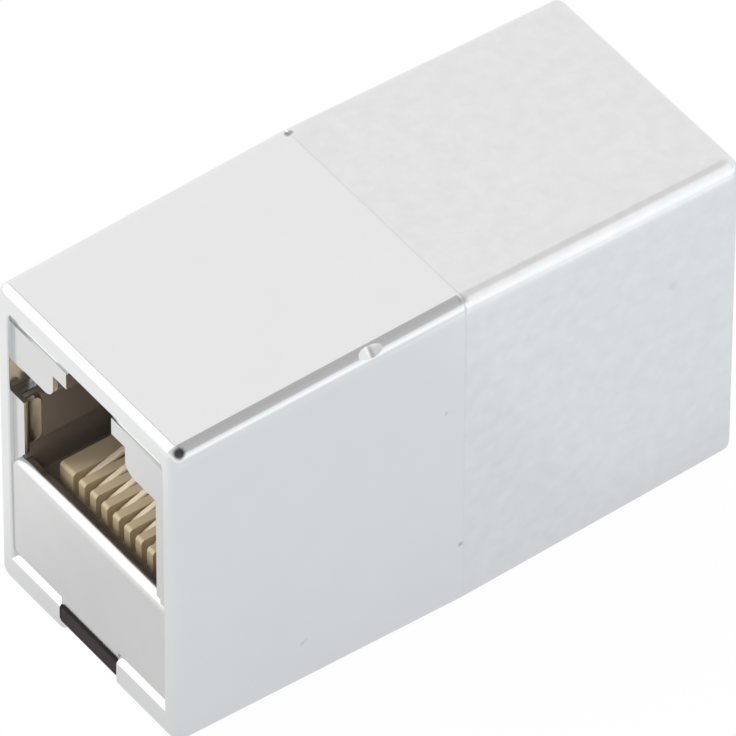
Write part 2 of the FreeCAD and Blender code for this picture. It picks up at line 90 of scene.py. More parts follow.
def tidy_mesh(mesh):
    """Merges doubles, drops faces without area and turns all faces outwards."""
    bm = bmesh.new()
    bm.from_mesh(mesh)
    bmesh.ops.remove_doubles(bm, verts=bm.verts, dist=GRID_MERGE * MM)
    bmesh.ops.dissolve_degenerate(bm, edges=bm.edges, dist=GRID_MERGE * MM)
    bmesh.ops.recalc_face_normals(bm, faces=bm.faces)
    bm.to_mesh(mesh)
    bm.free()
    mesh.polygons.foreach_set("use_smooth", [True] * len(mesh.polygons))
    mesh.update()


def keep_edges_crisp(piece, degrees):
    """Edges sharper than an angle stay sharp, and large flat faces keep their own normals."""
    piece.data.set_sharp_from_angle(angle=math.radians(degrees))
    weighted = piece.modifiers.new("flat faces first", "WEIGHTED_NORMAL")
    weighted.keep_sharp = True
    weighted.weight = 100


def grid_faces(rows, columns):
    """Quads of a grid that closes on itself both ways."""
    r, c = np.meshgrid(np.arange(rows), np.arange(columns), indexing="ij")
    r2, c2 = (r + 1) % rows, (c + 1) % columns
    quads = np.stack([r * columns + c, r * columns + c2, r2 * columns + c2, r2 * columns + c], -1)
    return quads.reshape(-1, 4).tolist()


def finished_copy(node, name, edge=0.0, moved=(), widened=(), cuts=()):
    """A copy of a CAD node with its loose triangles merged, and its edges broken where edge is set.

    Each (D, z, new D, new z) in moved shifts the corners there, which closes a slit. Each
    (y, low, high, new y) in widened moves the corners of a bend out to the new y, between two
    heights. Each y in cuts splits the mesh across, so that long bends shade evenly.
    """
    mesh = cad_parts[node].data.copy()
    mesh.name = name
    mesh.materials.clear()
    bm = bmesh.new()
    bm.from_mesh(mesh)
    bmesh.ops.remove_doubles(bm, verts=bm.verts, dist=COPY_MERGE * MM)
    bmesh.ops.dissolve_limit(bm, angle_limit=math.radians(1.0), verts=bm.verts, edges=bm.edges)
    for here, low, high, there in widened:
        for v in bm.verts:
            depth, y, z = HALF_LENGTH - abs(v.co.x) / MM, abs(v.co.y) / MM, v.co.z / MM
            if depth < WIDENED_DEPTH and abs(y - here) < SAME_PLACE and low < z < high:
                v.co.y = math.copysign(there * MM, v.co.y)
    for y in cuts:
        bmesh.ops.bisect_plane(bm, geom=bm.verts[:] + bm.edges[:] + bm.faces[:], dist=1e-7,
                               plane_co=(0, y * MM, 0), plane_no=(0, 1, 0))
    for depth, level, new_depth, new_level in moved:
        for v in bm.verts:
            d, z = HALF_LENGTH - abs(v.co.x) / MM, v.co.z / MM
            if abs(d - depth) < SAME_PLACE and abs(z - level) < SAME_PLACE:
                v.co.x = math.copysign((HALF_LENGTH - new_depth) * MM, v.co.x)
                v.co.z = new_level * MM
    bm.to_mesh(mesh)
    bm.free()
    mesh.polygons.foreach_set("use_smooth", [True] * len(mesh.polygons))
    piece = bpy.data.objects.new(name, mesh)
    scene.collection.objects.link(piece)
    if edge:
        bevel = piece.modifiers.new("broken edges", "BEVEL")
        bevel.width = edge * MM
        bevel.segments = BEVEL_SEGMENTS
        bevel.limit_method = "ANGLE"
        bevel.angle_limit = math.radians(BEVEL_DEGREES)
    keep_edges_crisp(piece, CRISP_DEGREES)
    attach(piece, "root")
    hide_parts(node)
    return piece


def rounded_rectangle(half_width, low, high, radius, fixed):
    """Closed outline across the length, as rows of (y, z): four arcs with straight runs between.

    Each corner is centre + radius * (cos a, sin a), in finer steps at the corner with the dent.
    On the sides the top corners fade out over TAIL: y inset = TAIL_SLOPE * TAIL / 3 *
    (1 - t / TAIL) ** 3 at a distance t below the corner, so the arc ends at TAIL_SLOPE.
    fixed gives the y places on the bottom run that stay where they are whatever the outline's
    width is, so the notch stays upright.
    """
    arcs = []
    for start, cy, cz, steps in ((270, half_width - radius, low + radius, 10),
                                 (0, half_width - radius, high - radius, 10),
                                 (90, radius - half_width, high - radius, 40),
                                 (180, radius - half_width, low + radius, 10)):
        a = np.radians(start + np.linspace(0, 90, steps + 1))
        arcs.append(np.stack([cy + radius * np.cos(a), cz + radius * np.sin(a)], -1))
    side = np.linspace(0, 1, 7)[1:-1, None]
    down = np.linspace(high - radius - TAIL, low + radius, 6)[:-1]
    tail = np.linspace(0, TAIL, 8)[1:-1]
    z = np.concatenate([high - radius - tail, down])
    left = np.stack([np.full(len(z), -half_width), z], -1)
    top = arcs[1][-1] + side * (arcs[2][0] - arcs[1][-1])
    bottom = np.stack([np.asarray(fixed), np.full(len(fixed), low)], -1)
    right = (left * (-1, 1))[::-1]
    outline = np.concatenate([bottom, arcs[0], right, arcs[1], top, arcs[2], left, arcs[3]])
    below = np.clip((high - radius - outline[:, 1]) / TAIL, 0, 1)
    upper = outline[:, 1] > (low + high) / 2
    inset = np.where(upper, TAIL_SLOPE * TAIL / 3 * (1 - below) ** 3, 0)
    squeeze = np.clip((abs(outline[:, 0]) - half_width + radius) / radius, 0, 1)
    outline[:, 0] -= np.sign(outline[:, 0]) * inset * squeeze
    return outline


def half_housing(length, lap):
    """Grid of points of one half, with its rim at D = 0; lap is true for the half with the tongue.

    u runs round the outline and v runs along the wall's section: seam, outside, rim rounding,
    mouth, inside and back to the seam. The outside grows with share = D / length, and its corners
    shrink by 0.8 of an inset. The inside is lifted to sill_height(D) up to SILL_DEPTH, and within
    the notch every point is moved back to NOTCH_DEPTH. At the seam the sides turn in by SEAM_GROOVE,
    and the top and bottom by the half's own break.
    """
    fixed = [-NOTCH_HALF - NOTCH_FOOT, -NOTCH_HALF, -NOTCH_HALF, 0.0,
             NOTCH_HALF, NOTCH_HALF, NOTCH_HALF + NOTCH_FOOT]
    in_notch = np.zeros(len(rounded_rectangle(1, 0, 1, 0.1, fixed)), bool)
    in_notch[2:5] = True
    rings = []
    seam_break = FRONT_SEAM_BREAK if lap else REAR_SEAM_BREAK

    def ring(d, half_width, low, high, radius, lift_to=None):
        yz = rounded_rectangle(half_width, low, high, radius, fixed)
        if lift_to is not None:
            yz[:, 1] = np.maximum(yz[:, 1], lift_to)
        rings.append(np.concatenate([np.full((len(yz), 1), d), yz], 1))

    def outside(d, inset=0.0, at=None, sides=None):
        share = (d if at is None else at) / length
        side_inset = inset if sides is None else sides
        ring(d, END_HALF_WIDTH + SIDE_GROWTH * share - side_inset,
             END_BOTTOM - BOTTOM_GROWTH * share + inset, END_TOP + TOP_GROWTH * share - inset,
             max(LONG_EDGE - inset * 0.8, LEAST_EDGE))

    def inside(d, widen=0.0, lift_to=None):
        share = d / length
        ring(d, MOUTH_HALF_WIDTH + SIDE_GROWTH * share + widen,
             FLOOR - BOTTOM_GROWTH * share - widen, MOUTH_TOP + TOP_GROWTH * share + widen,
             MOUTH_CORNER, lift_to)

    outside(length - SEAM_GROOVE)
    outside(length - SEAM_GROOVE - SEAM_HOLD)
    for d in dent_places(length, lap):
        outside(d)
    for a in np.radians(np.linspace(0, 90, 13)):
        outside(RIM_EDGE * (1 - math.sin(a)), RIM_EDGE * (1 - math.cos(a)))
    for d in INNER_RINGS:
        short = max(1 - d / MOUTH_EDGE, 0.0)
        inside(d, MOUTH_EDGE * (1 - math.sqrt(1 - short ** 2)), sill_height(d))
    inside(SILL_DEPTH)
    inside(NOTCH_DEPTH)
    inside(length * 0.6)
    if lap:
        inside(length + LAP)
        outside(length + LAP, TONGUE_INSET, length)
        outside(length, TONGUE_INSET, length)
    else:
        inside(length - LAP - LAP_GAP)
        outside(length - LAP - LAP_GAP, RECESS_INSET, length)
        outside(length, RECESS_INSET, length)
    outside(length, seam_break, sides=SEAM_GROOVE)
    grid = np.stack(rings, 1)
    cut = np.broadcast_to(in_notch[:, None], grid.shape[:2])
    early = cut & (grid[..., 0] < NOTCH_DEPTH)
    outer_low = END_BOTTOM - BOTTOM_GROWTH * NOTCH_DEPTH / length
    inner_low = FLOOR - BOTTOM_GROWTH * NOTCH_DEPTH / length
    grid[..., 2] = np.where(early, np.clip(grid[..., 2], outer_low, inner_low), grid[..., 2])
    grid[..., 0] = np.where(early, NOTCH_DEPTH, grid[..., 0])
    return grid


def sill_height(d):
    """Top of the sill: a slope of 45 degrees to SILL_TOP, with an arc at each end.

    Low arc, of radius r: SILL_TOP - SILL_SLOPE - SILL_FOOT + sqrt(r ** 2 - (r - D) ** 2). Top arc,
    of radius R and centre C: SILL_TOP - R + sqrt(R ** 2 - (C - D) ** 2).
    """
    low, top = SILL_LOW_RADIUS, SILL_TOP_RADIUS
    if d < LOW_ARC_END:
        return SILL_TOP - SILL_SLOPE - SILL_FOOT + math.sqrt(max(low ** 2 - (low - d) ** 2, 0.0))
    if d < TOP_ARC_START:
        return SILL_TOP - SILL_SLOPE + d
    if d < TOP_ARC_CENTRE:
        return SILL_TOP - top + math.sqrt(top ** 2 - (TOP_ARC_CENTRE - d) ** 2)
    return SILL_TOP


def dent_places(length, lap):
    """Depths of the outside rings, from the seam to the rim, closer together round the dent.

    Nine are even, from 0.95 of the length to 0.4 mm behind the rim's rounding. Those within 1 mm
    of the dent's middle are left out, and the half with the dent has close ones there.
    """
    even = np.linspace(length * 0.95, RIM_EDGE + 0.4, 9)
    close = DENT_FROM_RIM + np.linspace(-DENT_REACH, DENT_REACH, 49) if lap else np.array([])
    return np.sort(np.concatenate([even[abs(even - DENT_FROM_RIM) > 1.0], close]))[::-1]


def dented(grid, length):
    """Points inside a ball beside the long edge move out to its skin: c + R * (p - c) / |p - c|."""
    share = DENT_FROM_RIM / length
    out = (DENT_RADIUS - DENT_DEPTH - LONG_EDGE * (math.sqrt(2) - 1)) / math.sqrt(2)
    centre = np.array([DENT_FROM_RIM, -(END_HALF_WIDTH + SIDE_GROWTH * share) - out,
                       END_TOP + TOP_GROWTH * share + out])
    away = grid - centre
    reach = np.linalg.norm(away, axis=-1, keepdims=True)
    return np.where(reach < DENT_RADIUS, centre + away * DENT_RADIUS / reach, grid)


def rib_boxes(length):
    """Corners and faces of the four ribs inside a half, as (D, y, z) boxes."""
    points, faces = [], []
    low_rib_ends = SILL_DEPTH, length - LOW_RIB_STOP
    for y in (-RIB_PLACE, RIB_PLACE):
        for ends, heights in ((low_rib_ends, LOW_RIB_HEIGHTS), (HIGH_RIB_ENDS, HIGH_RIB_HEIGHTS)):
            start = len(points)
            points += [(d, y + w * RIB_HALF, z) for z in heights for w in (-1, 1) for d in ends]
            faces += [[start + k for k in f] for f in ((0, 2, 3, 1), (4, 5, 7, 6), (0, 1, 5, 4),
                                                       (2, 6, 7, 3), (0, 4, 6, 2), (1, 3, 7, 5))]
    return np.array(points), faces


def make_half(name, node, length, rear):
    """One half housing from its grid and ribs, placed at its own end."""
    grid = half_housing(length, not rear)
    if not rear:
        grid = dented(grid, length)
    ribs, rib_faces = rib_boxes(length)
    points = np.concatenate([grid.reshape(-1, 3), ribs])
    points[:, 0] -= HALF_LENGTH
    if rear:
        points[:, :2] *= -1
    first = len(points) - len(ribs)
    faces = grid_faces(*grid.shape[:2]) + [[k + first for k in f] for f in rib_faces]
    piece = new_piece(name, points, faces, [node])
    keep_edges_crisp(piece, CRISP_DEGREES)
    return piece


# ------------------------------------------------------------------ contacts
CONTACTS, PITCH = 8, 1.016
WIRE, WIRE_CORNER = 0.18, 0.10  # half the bar's thickness, and the radius of its corners
NOSE_D, NOSE_R, ARM_ANGLE, ARM_LENGTH = 3.13, 0.60, math.radians(17.6), 8.6
TAIL_ROWS, TAIL_BEND, TAIL_END, RUN_Z = (12.2, 14.74), 0.5, 2.875, 8.383
ARM_STEPS = np.array([[0.02], [0.35], [0.7], [1.0]])


def contact_line(tail_d):
    """(D, z) points of a contact: tail, quarter bend, run, nose round its centre, straight arm."""
    up = np.array([[tail_d, TAIL_END], [tail_d, RUN_Z - TAIL_BEND - 0.2]])
    a = np.radians(np.linspace(0, 90, 9))
    bend = np.array([tail_d, RUN_Z]) + TAIL_BEND * np.stack([np.cos(a) - 1, np.sin(a) - 1], -1)
    b = np.linspace(math.pi / 2 * 3, math.pi / 2 + ARM_ANGLE, 22)
    nose = np.array([NOSE_D, RUN_Z + NOSE_R]) + NOSE_R * np.stack([np.cos(b), np.sin(b)], -1)
    along = np.array([[math.cos(ARM_ANGLE), math.sin(ARM_ANGLE)]])
    arm = nose[-1] + ARM_STEPS * ARM_LENGTH * along
    return np.concatenate([up, bend, nose, arm])


def square_wire(line, y):
    """A square bar with rounded corners along a line, with flat ends.

    Each ring is centre + s * normal + t * Y, where (s, t) goes round the section: corner centres
    at WIRE - WIRE_CORNER, and arcs of WIRE_CORNER * (cos a, sin a) about them.
    """
    tangent = np.gradient(line, axis=0)
    tangent /= np.linalg.norm(tangent, axis=1)[:, None]
    normal = np.stack([-tangent[:, 1], tangent[:, 0]], -1)
    core = WIRE - WIRE_CORNER
    section = []
    for quarter, (cs, ct) in enumerate(((1, 1), (-1, 1), (-1, -1), (1, -1))):
        for a in np.radians(90 * quarter + np.linspace(0, 90, 5)):
            section.append((cs * core + WIRE_CORNER * math.cos(a),
                            ct * core + WIRE_CORNER * math.sin(a)))
    s, t = np.array(section).T
    d = line[:, None, 0] + s * normal[:, None, 0]
    z = line[:, None, 1] + s * normal[:, None, 1]
    points = np.stack([d - HALF_LENGTH, y + t + 0 * d, z], -1)
    rings, sides = len(line), len(section)
    faces = [f for i, f in enumerate(grid_faces(rings, sides)) if i < (rings - 1) * sides]
    faces += [list(range(sides)), list(range((rings - 1) * sides, rings * sides))]
    return points.reshape(-1, 3), faces


def make_contacts():
    """Eight contacts at each end, one piece for each CAD contact."""
    made = []
    for i in range(CONTACTS):
        y = (i - (CONTACTS - 1) / 2) * PITCH
        points, faces = square_wire(contact_line(TAIL_ROWS[i % 2]), y)
        for end, sign in (("front", 1), ("rear", -1)):
            turned = points * np.array([sign, sign, 1])
            piece = new_piece("%s_spring_contact_%d" % (end, i + 1), turned, faces,
                              ["%s_contact_%d" % (end, i + 1)])
            keep_edges_crisp(piece, WIRE_CRISP_DEGREES)
            made.append(piece)
    return made


# ------------------------------------------------------------------ materials
def node_of(tree, kind, **values):
    """Adds a node; a value whose name is a socket goes to that socket, others to the node."""
    node = tree.nodes.new(kind)
    for key, value in values.items():
        label = key.replace("_", " ")
        if label in node.inputs:
            node.inputs[label].default_value = value
        else:
            setattr(node, key, value)
    return node


def grain_group():
    """Fine grain and slow mottling.

    Height is noise at Scale. Tone is 1 + Mottling * (n - 0.5), where n is noise at Patches.
    """
    group = bpy.data.node_groups.new("grain and mottling", "ShaderNodeTree")
    for label in ("Scale", "Patches", "Mottling"):
        group.interface.new_socket(label, in_out="INPUT", socket_type="NodeSocketFloat")
    for label in ("Height", "Tone"):
        group.interface.new_socket(label, in_out="OUTPUT", socket_type="NodeSocketFloat")
    come, go = group.nodes.new("NodeGroupInput"), group.nodes.new("NodeGroupOutput")
    place = group.nodes.new("ShaderNodeTexCoord")
    fine = node_of(group, "ShaderNodeTexNoise", Detail=3.0, Roughness=0.6)
    slow = node_of(group, "ShaderNodeTexNoise", Detail=4.0, Roughness=0.55)
    group.links.new(come.outputs["Patches"], slow.inputs["Scale"])
    group.links.new(place.outputs["Object"], fine.inputs["Vector"])
    group.links.new(place.outputs["Object"], slow.inputs["Vector"])
    group.links.new(come.outputs["Scale"], fine.inputs["Scale"])
    centred = node_of(group, "ShaderNodeMath", operation="SUBTRACT")
    centred.inputs[1].default_value = 0.5
    group.links.new(slow.outputs["Fac"], centred.inputs[0])
    scaled = node_of(group, "ShaderNodeMath", operation="MULTIPLY_ADD")
    scaled.inputs[2].default_value = 1.0
    group.links.new(centred.outputs[0], scaled.inputs[0])
    group.links.new(come.outputs["Mottling"], scaled.inputs[1])
    group.links.new(fine.outputs["Fac"], go.inputs["Height"])
    group.links.new(scaled.outputs[0], go.inputs["Tone"])
    return group


def speck_group():
    """Mask of a small spot, used for marks and for a painted reflection: 1 within Size of Place,
    falling to 0 over Softness.
    """
    group = bpy.data.node_groups.new("speck", "ShaderNodeTree")
    group.interface.new_socket("Place", in_out="INPUT", socket_type="NodeSocketVector")
    for label in ("Size", "Softness"):
        group.interface.new_socket(label, in_out="INPUT", socket_type="NodeSocketFloat")
    group.interface.new_socket("Mask", in_out="OUTPUT", socket_type="NodeSocketFloat")
    come, go = group.nodes.new("NodeGroupInput"), group.nodes.new("NodeGroupOutput")
    place = group.nodes.new("ShaderNodeTexCoord")
    apart = node_of(group, "ShaderNodeVectorMath", operation="DISTANCE")
    group.links.new(place.outputs["Object"], apart.inputs[0])
    group.links.new(come.outputs["Place"], apart.inputs[1])
    far = node_of(group, "ShaderNodeMath", operation="ADD")
    group.links.new(come.outputs["Size"], far.inputs[0])
    group.links.new(come.outputs["Softness"], far.inputs[1])
    fade = node_of(group, "ShaderNodeMapRange", interpolation_type="SMOOTHSTEP")
    fade.inputs["To Min"].default_value = 1.0
    fade.inputs["To Max"].default_value = 0.0
    group.links.new(apart.outputs["Value"], fade.inputs["Value"])
    group.links.new(come.outputs["Size"], fade.inputs["From Min"])
    group.links.new(far.outputs[0], fade.inputs["From Max"])
    group.links.new(fade.outputs[0], go.inputs["Mask"])
    return group


GRAIN, SPECK = grain_group(), speck_group()


def finish(name, colour, metallic, roughness, grain_scale, mottling, bump, rough_spread=0.05,
           spots=(), specular=0.5, patches=420.0):
    """A material with grain in its bump and roughness, mottling in its colour, and small spots:
    marks, and on the front plating a painted reflection.
    """
    material = bpy.data.materials.new(name)
    material.use_nodes = True
    tree = material.node_tree
    shader = tree.nodes["Principled BSDF"]
    shader.inputs["Metallic"].default_value = metallic
    shader.inputs["Specular IOR Level"].default_value = specular
    grain = tree.nodes.new("ShaderNodeGroup")
    grain.node_tree = GRAIN
    grain.inputs["Scale"].default_value = grain_scale
    grain.inputs["Mottling"].default_value = mottling
    grain.inputs["Patches"].default_value = patches
    tone = node_of(tree, "ShaderNodeVectorMath", operation="SCALE")
    tone.inputs[0].default_value = colour
    tree.links.new(grain.outputs["Tone"], tone.inputs["Scale"])
    colour_out = tone.outputs["Vector"]
    for place, size, softness, strength, tint in spots:
        mark = tree.nodes.new("ShaderNodeGroup")
        mark.node_tree = SPECK
        mark.inputs["Place"].default_value = [v * MM for v in place]
        mark.inputs["Size"].default_value = size * MM
        mark.inputs["Softness"].default_value = softness * MM
        part = node_of(tree, "ShaderNodeMath", operation="MULTIPLY")
        part.inputs[1].default_value = strength
        tree.links.new(mark.outputs["Mask"], part.inputs[0])
        mix = node_of(tree, "ShaderNodeMix", data_type="RGBA")
        tree.links.new(part.outputs[0], mix.inputs[0])
        tree.links.new(colour_out, mix.inputs[6])
        mix.inputs[7].default_value = (*tint, 1)
        colour_out = mix.outputs[2]
    tree.links.new(colour_out, shader.inputs["Base Color"])
    rough = node_of(tree, "ShaderNodeMapRange")
    rough.inputs["To Min"].default_value = roughness - rough_spread
    rough.inputs["To Max"].default_value = roughness + rough_spread
    tree.links.new(grain.outputs["Height"], rough.inputs["Value"])
    tree.links.new(rough.outputs[0], shader.inputs["Roughness"])
    relief = node_of(tree, "ShaderNodeBump", Strength=1.0, Distance=bump * MM)
    tree.links.new(grain.outputs["Height"], relief.inputs["Height"])
    tree.links.new(relief.outputs["Normal"], shader.inputs["Normal"])
    return material


def dress(piece, material):
    """Gives a piece one material."""
    piece.data.materials.clear()
    piece.data.materials.append(material)


# ------------------------------------------------------------------ studio
def rise(tree, value, border, unit=1.0):
    """0 before a border's start and 1 past its end, smooth between; start may be the larger."""
    start, end = border[0] * unit, border[1] * unit
    step = node_of(tree, "ShaderNodeMapRange", interpolation_type="SMOOTHSTEP")
    low, high = min(start, end), max(start, end)
    step.inputs["From Min"].default_value, step.inputs["From Max"].default_value = low, high
    step.inputs["To Min"].default_value = 0.0 if start < end else 1.0
    step.inputs["To Max"].default_value = 1.0 if start < end else 0.0
    tree.links.new(value, step.inputs["Value"])
    return step.outputs[0]


def product(tree, first, *others):
    """The product of several values."""
    for other in others:
        times = node_of(tree, "ShaderNodeMath", operation="MULTIPLY")
        tree.links.new(first, times.inputs[0])
        tree.links.new(other, times.inputs[1])
        first = times.outputs[0]
    return first


def blend(tree, mask, before, after):
    """before where the mask is 0 and after where it is 1; either may be a number or a socket."""
    mix = node_of(tree, "ShaderNodeMix", data_type="FLOAT")
    tree.links.new(mask, mix.inputs[0])
    for slot, value in ((2, before), (3, after)):
        if isinstance(value, float):
            mix.inputs[slot].default_value = value
        else:
            tree.links.new(value, mix.inputs[slot])
    return mix.outputs[0]


ROOM, ROOM_RIGHT, CEILING, CEILING_LEFT, STRIP, SOFTBOX = 0.955, 0.895, 0.43, 0.70, 0.45, 1.45
WINDOW_SIDE, WINDOW_TOP, FAR_SIDE = 1.16, 0.76, 0.93

# Borders of the room's parts: where each starts and is full, along x, y or z of a direction.
RIGHT_X, SIDE_X, FAR_X = (0.40, 0.44), (0.405, 0.455), (0.50, 0.60)
SIDE_Y, SIDE_Z, FADE_Z = (0.50, 0.40), (-0.2, 0.0), (0.56, 0.86)
CEILING_X, CEILING_LEFT_X, CEILING_Z = (0.45, 0.40), (0.30, 0.20), (0.20, 0.38)
CEILING_Y, CEILING_NEAR_Y = (0.50, 0.42), (-0.95, -0.80)
STRIP_X, STRIP_RIGHT_X, STRIP_Y, STRIP_Z = (0.14, 0.19), (0.29, 0.23), (0.42, 0.50), (0.4, 0.6)
SOFTBOX_X, SOFTBOX_Y, SOFTBOX_Z = (0.22, 0.08), (0.44, 0.52), (-0.02, 0.14)


def studio_light():
    """A pale room, by direction, and white behind everything that the camera sees.

    It has a grey ceiling that is paler to the left, a bright side on the right that fades upwards
    and farther to the right, and behind the part a narrow dark strip and a softbox on the left.
    """
    world = bpy.data.worlds.new("studio")
    scene.world = world
    world.use_nodes = True
    tree = world.node_tree
    tree.nodes.clear()
    direction = tree.nodes.new("ShaderNodeTexCoord").outputs["Generated"]
    parts = tree.nodes.new("ShaderNodeSeparateXYZ")
    tree.links.new(direction, parts.inputs[0])
    x, y, z = parts.outputs
    level = blend(tree, rise(tree, x, RIGHT_X), ROOM, ROOM_RIGHT)
    side = blend(tree, rise(tree, z, FADE_Z), WINDOW_SIDE, WINDOW_TOP)
    side = blend(tree, rise(tree, x, FAR_X), side, FAR_SIDE)
    to_side = product(tree, rise(tree, x, SIDE_X), rise(tree, y, SIDE_Y), rise(tree, z, SIDE_Z))
    level = blend(tree, to_side, level, side)
    to_ceiling = product(tree, rise(tree, x, CEILING_X), rise(tree, y, CEILING_Y),
                         rise(tree, y, CEILING_NEAR_Y), rise(tree, z, CEILING_Z))
    ceiling = blend(tree, rise(tree, x, CEILING_LEFT_X), CEILING, CEILING_LEFT)
    level = blend(tree, to_ceiling, level, ceiling)
    to_strip = product(tree, rise(tree, x, STRIP_X), rise(tree, x, STRIP_RIGHT_X),
                       rise(tree, y, STRIP_Y), rise(tree, z, STRIP_Z))
    level = blend(tree, to_strip, level, STRIP)
    to_softbox = product(tree, rise(tree, x, SOFTBOX_X), rise(tree, y, SOFTBOX_Y),
                         rise(tree, z, SOFTBOX_Z))
    level = blend(tree, to_softbox, level, SOFTBOX)
    room = node_of(tree, "ShaderNodeBackground", Color=(1, 1, 1, 1))
    tree.links.new(level, room.inputs["Strength"])
    white = node_of(tree, "ShaderNodeBackground", Color=(1, 1, 1, 1), Strength=1.0)
    rays = tree.nodes.new("ShaderNodeLightPath")
    choose = tree.nodes.new("ShaderNodeMixShader")
    tree.links.new(rays.outputs["Is Camera Ray"], choose.inputs[0])
    tree.links.new(room.outputs[0], choose.inputs[1])
    tree.links.new(white.outputs[0], choose.inputs[2])
    out = tree.nodes.new("ShaderNodeOutputWorld")
    tree.links.new(choose.outputs[0], out.inputs["Surface"])


FLOOR_SEEN, FLOOR_PAINT = 0.975, (0.86, 0.86, 0.86, 1)
FLOOR_SIZE, FLOOR_DROP = 3.0, 0.00002  # metres
# The floor's glow in the plating is painted light, and DIMMING is a painted shadow of the part round
# its footprint.
FLOOR_NEAR, FLOOR_LEFT, FLOOR_RIGHT, FLOOR_FAR, FLOOR_PATCH = 0.815, 0.95, 0.86, 0.97, 1.18
DIMMING, DIMMING_REACH = 0.10, 6.0
NEAR_TINT, LEFT_TINT = (0.945, 0.99, 1.025, 1), (0.995, 1.005, 1.0, 1)

# Borders on the floor in mm, as those of the room.
FLOOR_LEFT_Y, FLOOR_FAR_Y, FLOOR_TINT_Y = (4, 14), (-27, -60), (-12, -4)
FLOOR_RIGHT_X, FLOOR_RIGHT_Y = (8, 14), (-8, -12)
FLOOR_PATCH_X, FLOOR_PATCH_Y = (8, 30), (-26, -40)


def floor_glow(tree):
    """How bright the floor looks in the plating, and how far it lies to the left.

    It dims towards the part, 1 - DIMMING * exp(-distance / DIMMING_REACH) from its footprint,
    a painted shadow of the part. It is painted brighter on the left, a little at the near right,
    far away on the near side, and in a patch far on the right.
    """
    place = tree.nodes.new("ShaderNodeTexCoord").outputs["Object"]
    size = node_of(tree, "ShaderNodeVectorMath", operation="ABSOLUTE")
    tree.links.new(place, size.inputs[0])
    past = node_of(tree, "ShaderNodeVectorMath", operation="SUBTRACT")
    tree.links.new(size.outputs[0], past.inputs[0])
    past.inputs[1].default_value = (HALF_LENGTH * MM, END_HALF_WIDTH * MM, 0)
    outside = node_of(tree, "ShaderNodeVectorMath", operation="MAXIMUM")
    tree.links.new(past.outputs[0], outside.inputs[0])
    outside.inputs[1].default_value = (0, 0, 0)
    length = node_of(tree, "ShaderNodeVectorMath", operation="LENGTH")
    tree.links.new(outside.outputs[0], length.inputs[0])
    scaled = node_of(tree, "ShaderNodeMath", operation="MULTIPLY")
    tree.links.new(length.outputs["Value"], scaled.inputs[0])
    scaled.inputs[1].default_value = -1 / (DIMMING_REACH * MM)
    power = node_of(tree, "ShaderNodeMath", operation="EXPONENT")
    tree.links.new(scaled.outputs[0], power.inputs[0])
    shade = node_of(tree, "ShaderNodeMath", operation="MULTIPLY_ADD")
    tree.links.new(power.outputs[0], shade.inputs[0])
    shade.inputs[1].default_value, shade.inputs[2].default_value = -DIMMING, 1.0
    parts = tree.nodes.new("ShaderNodeSeparateXYZ")
    tree.links.new(place, parts.inputs[0])
    x, y, _ = parts.outputs
    level = blend(tree, rise(tree, y, FLOOR_LEFT_Y, MM), FLOOR_NEAR, FLOOR_LEFT)
    right = product(tree, rise(tree, x, FLOOR_RIGHT_X, MM), rise(tree, y, FLOOR_RIGHT_Y, MM))
    level = blend(tree, right, level, FLOOR_RIGHT)
    level = blend(tree, rise(tree, y, FLOOR_FAR_Y, MM), level, FLOOR_FAR)
    patch = product(tree, rise(tree, x, FLOOR_PATCH_X, MM), rise(tree, y, FLOOR_PATCH_Y, MM))
    level = blend(tree, patch, level, FLOOR_PATCH)
    return product(tree, level, shade.outputs[0]), rise(tree, y, FLOOR_TINT_Y, MM)


def studio_floor():
    """A pale floor that keeps a faint shadow, and shows white to the camera."""
    mesh = bpy.data.meshes.new("floor")
    corners = [(x * FLOOR_SIZE, y * FLOOR_SIZE, 0) for x, y in ((-1, -1), (1, -1), (1, 1), (-1, 1))]
    mesh.from_pydata(corners, [], [(0, 1, 2, 3)])
    floor = bpy.data.objects.new("floor", mesh)
    scene.collection.objects.link(floor)
    floor.location.z = -FLOOR_DROP
    material = bpy.data.materials.new("pale floor")
    material.use_nodes = True
    tree = material.node_tree
    tree.nodes.clear()
    paint = node_of(tree, "ShaderNodeBsdfDiffuse", Color=FLOOR_PAINT)
    white = node_of(tree, "ShaderNodeEmission", Color=(1, 1, 1, 1), Strength=1.0)
    glow, left = floor_glow(tree)
    tint = node_of(tree, "ShaderNodeMix", data_type="RGBA")
    tree.links.new(left, tint.inputs[0])
    tint.inputs[6].default_value, tint.inputs[7].default_value = NEAR_TINT, LEFT_TINT
    # pale: the glow that glossy rays see, with the painted shadow and painted light of floor_glow.
    pale = tree.nodes.new("ShaderNodeEmission")
    tree.links.new(tint.outputs[2], pale.inputs["Color"])
    tree.links.new(glow, pale.inputs["Strength"])
    rays = tree.nodes.new("ShaderNodeLightPath")
    seen = node_of(tree, "ShaderNodeMath", operation="MULTIPLY")
    seen.inputs[1].default_value = FLOOR_SEEN
    tree.links.new(rays.outputs["Is Camera Ray"], seen.inputs[0])
    first, second = tree.nodes.new("ShaderNodeMixShader"), tree.nodes.new("ShaderNodeMixShader")
    tree.links.new(seen.outputs[0], first.inputs[0])
    tree.links.new(paint.outputs[0], first.inputs[1])
    tree.links.new(white.outputs[0], first.inputs[2])
    tree.links.new(rays.outputs["Is Glossy Ray"], second.inputs[0])
    tree.links.new(first.outputs[0], second.inputs[1])
    tree.links.new(pale.outputs[0], second.inputs[2])
    out = tree.nodes.new("ShaderNodeOutputMaterial")
    tree.links.new(second.outputs[0], out.inputs["Surface"])
    mesh.materials.append(material)


LAMPS = [  # name, direction towards it, power, angle in degrees
    ("softbox lamp", (-0.63, 0.50, 0.60), 2.2, 24),
    ("fill lamp", (-0.50, -0.45, 0.74), 0.75, 30),
]


